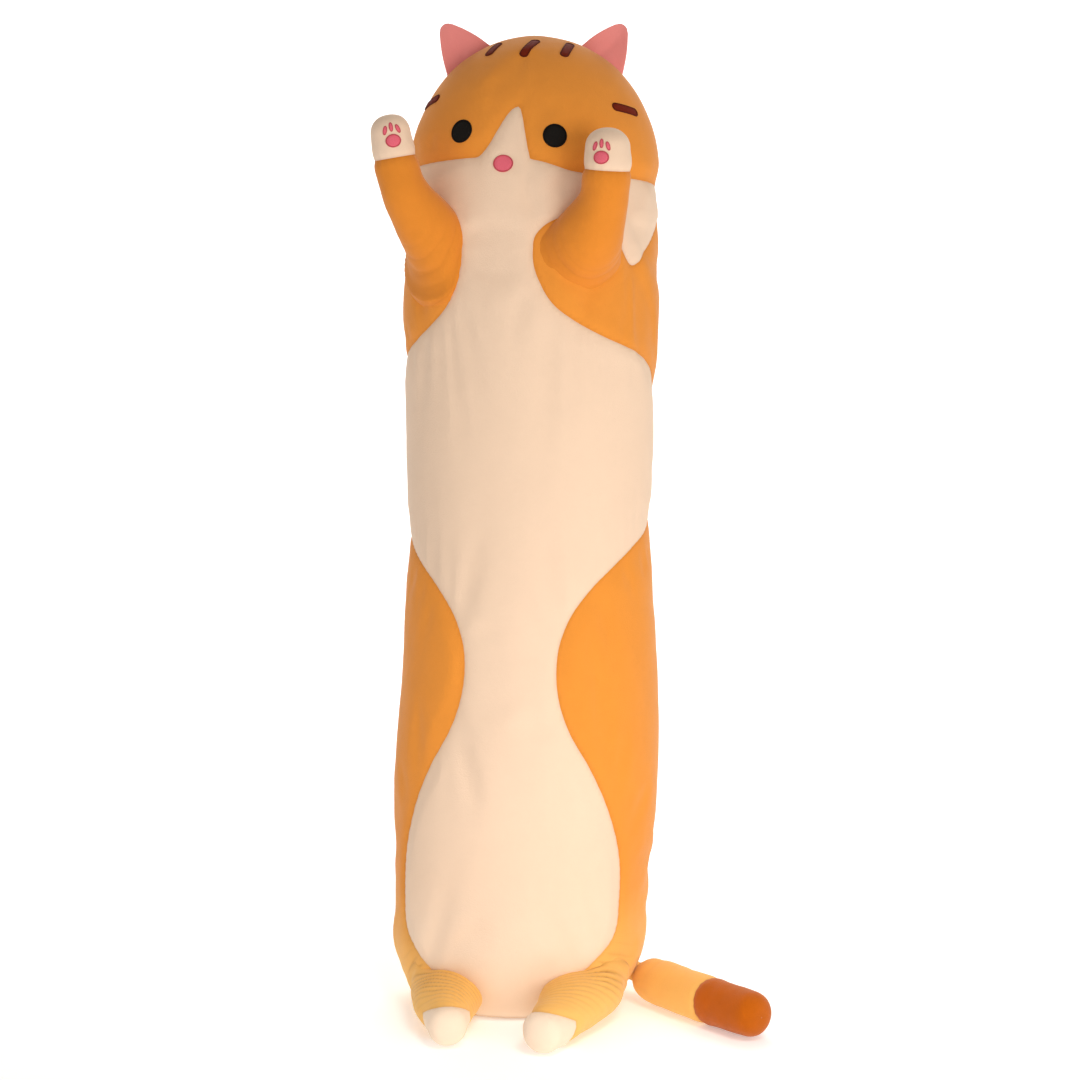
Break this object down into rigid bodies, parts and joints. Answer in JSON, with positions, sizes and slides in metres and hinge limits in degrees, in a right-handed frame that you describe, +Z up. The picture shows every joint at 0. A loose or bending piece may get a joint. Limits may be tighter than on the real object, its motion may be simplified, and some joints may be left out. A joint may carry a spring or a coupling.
{
  "type": "plush cat",
  "caption": "Long stuffed cat body pillow standing upright, with raised arms and paws, short legs, a tail, folding ears, a cream face and belly panel and stitched features.",
  "frame": {"origin": "on the flat underside, at floor level, under the middle of the body", "axes": "+Z up along the body, front of the cat faces -Y, the cat's own left is +X"},
  "size_m": [0.4199, 0.35, 1.0926],
  "materials": {
    "filling_lower_mat": "loose polyester fibre",
    "base_panel_mat": "short pile velour",
    "belly_panel_mat": "short pile velour",
    "side_left_panel_mat": "short pile velour",
    "side_right_panel_mat": "short pile velour",
    "filling_upper_mat": "loose polyester fibre",
    "crown_panel_mat": "short pile velour",
    "eye_left_mat": "satin stitch thread",
    "eye_right_mat": "satin stitch thread",
    "nose_mat": "satin stitch thread",
    "stripe_crown_left_mat": "satin stitch thread",
    "stripe_crown_middle_mat": "satin stitch thread",
    "stripe_crown_right_mat": "satin stitch thread",
    "stripe_temple_left_mat": "satin stitch thread",
    "stripe_temple_right_mat": "satin stitch thread",
    "arm_left_filling_mat": "loose polyester fibre",
    "arm_left_sleeve_mat": "short pile velour",
    "arm_left_paw_mat": "short pile velour",
    "arm_left_palm_pad_mat": "satin stitch thread",
    "arm_left_bean_inner_mat": "satin stitch thread",
    "arm_left_bean_middle_mat": "satin stitch thread",
    "arm_left_bean_outer_mat": "satin stitch thread",
    "arm_right_filling_mat": "loose polyester fibre",
    "arm_right_sleeve_mat": "short pile velour",
    "arm_right_paw_mat": "short pile velour",
    "arm_right_palm_pad_mat": "satin stitch thread",
    "arm_right_bean_inner_mat": "satin stitch thread",
    "arm_right_bean_middle_mat": "satin stitch thread",
    "arm_right_bean_outer_mat": "satin stitch thread",
    "leg_left_filling_mat": "loose polyester fibre",
    "leg_left_sleeve_mat": "short pile velour",
    "leg_left_toe_mat": "short pile velour",
    "leg_right_filling_mat": "loose polyester fibre",
    "leg_right_sleeve_mat": "short pile velour",
    "leg_right_toe_mat": "short pile velour",
    "tail_filling_mat": "loose polyester fibre",
    "tail_sleeve_mat": "short pile velour",
    "tail_tip_mat": "short pile velour",
    "ear_left_front_mat": "smooth felt",
    "ear_left_back_mat": "short pile velour",
    "ear_right_front_mat": "smooth felt",
    "ear_right_back_mat": "short pile velour"
  },
  "bodies": {
    "hips": {"filling_lower": "filling_lower_mat", "base_panel": "base_panel_mat", "belly_panel": "belly_panel_mat", "side_left_panel": "side_left_panel_mat", "side_right_panel": "side_right_panel_mat"},
    "chest": {"filling_upper": "filling_upper_mat", "crown_panel": "crown_panel_mat", "eye_left": "eye_left_mat", "eye_right": "eye_right_mat", "nose": "nose_mat", "stripe_crown_left": "stripe_crown_left_mat", "stripe_crown_middle": "stripe_crown_middle_mat", "stripe_crown_right": "stripe_crown_right_mat", "stripe_temple_left": "stripe_temple_left_mat", "stripe_temple_right": "stripe_temple_right_mat"},
    "arm_left": {"arm_left_filling": "arm_left_filling_mat", "arm_left_sleeve": "arm_left_sleeve_mat", "arm_left_paw": "arm_left_paw_mat", "arm_left_palm_pad": "arm_left_palm_pad_mat", "arm_left_bean_inner": "arm_left_bean_inner_mat", "arm_left_bean_middle": "arm_left_bean_middle_mat", "arm_left_bean_outer": "arm_left_bean_outer_mat"},
    "arm_right": {"arm_right_filling": "arm_right_filling_mat", "arm_right_sleeve": "arm_right_sleeve_mat", "arm_right_paw": "arm_right_paw_mat", "arm_right_palm_pad": "arm_right_palm_pad_mat", "arm_right_bean_inner": "arm_right_bean_inner_mat", "arm_right_bean_middle": "arm_right_bean_middle_mat", "arm_right_bean_outer": "arm_right_bean_outer_mat"},
    "leg_left": {"leg_left_filling": "leg_left_filling_mat", "leg_left_sleeve": "leg_left_sleeve_mat", "leg_left_toe": "leg_left_toe_mat"},
    "leg_right": {"leg_right_filling": "leg_right_filling_mat", "leg_right_sleeve": "leg_right_sleeve_mat", "leg_right_toe": "leg_right_toe_mat"},
    "tail": {"tail_filling": "tail_filling_mat", "tail_sleeve": "tail_sleeve_mat", "tail_tip": "tail_tip_mat"},
    "ear_left": {"ear_left_front": "ear_left_front_mat", "ear_left_back": "ear_left_back_mat"},
    "ear_right": {"ear_right_front": "ear_right_front_mat", "ear_right_back": "ear_right_back_mat"}
  },
  "joints": [
    {"name": "waist_bend", "type": "hinge", "parent": "hips", "child": "chest", "pos_m": [0, 0, 0.575], "axis": [1, 0, 0], "range_deg": [-25, 45], "stiffness_Nm_per_rad": 12, "deforming": ["belly_panel", "side_left_panel", "side_right_panel"]},
    {"name": "arm_left_lower", "type": "hinge", "parent": "chest", "child": "arm_left", "pos_m": [0.0729, -0.1304, 0.8641], "axis": [0.9023, 0.4311, 0], "range_deg": [-8, 75], "stiffness_Nm_per_rad": 0.06, "deforming": ["arm_left_sleeve"]},
    {"name": "arm_right_lower", "type": "hinge", "parent": "chest", "child": "arm_right", "pos_m": [-0.1163, -0.104, 0.876], "axis": [0.7239, -0.6899, 0], "range_deg": [-8, 75], "stiffness_Nm_per_rad": 0.06, "deforming": ["arm_right_sleeve"]},
    {"name": "leg_left_lift", "type": "hinge", "parent": "hips", "child": "leg_left", "pos_m": [0.0521, -0.1137, 0.0293], "axis": [-0.936, 0.352, 0], "range_deg": [0, 35], "stiffness_Nm_per_rad": 0.06, "deforming": ["leg_left_sleeve"]},
    {"name": "leg_right_lift", "type": "hinge", "parent": "hips", "child": "leg_right", "pos_m": [-0.0879, -0.1141, 0.0288], "axis": [-0.9966, -0.083, 0], "range_deg": [0, 35], "stiffness_Nm_per_rad": 0.06, "deforming": ["leg_right_sleeve"]},
    {"name": "tail_swing", "type": "hinge", "parent": "hips", "child": "tail", "pos_m": [0.1285, 0.0135, 0.0255], "axis": [0, 0, 1], "range_deg": [0, 50], "stiffness_Nm_per_rad": 0.08, "deforming": ["tail_sleeve"]},
    {"name": "ear_left_fold", "type": "hinge", "parent": "chest", "child": "ear_left", "pos_m": [0.0852, -0.0111, 1.0555], "axis": [0.7941, -0.0357, -0.6068], "range_deg": [-22, 22], "stiffness_Nm_per_rad": 0.005},
    {"name": "ear_right_fold", "type": "hinge", "parent": "chest", "child": "ear_right", "pos_m": [-0.0687, -0.0101, 1.0555], "axis": [0.7985, 0.0343, 0.601], "range_deg": [-22, 22], "stiffness_Nm_per_rad": 0.005}
  ]
}
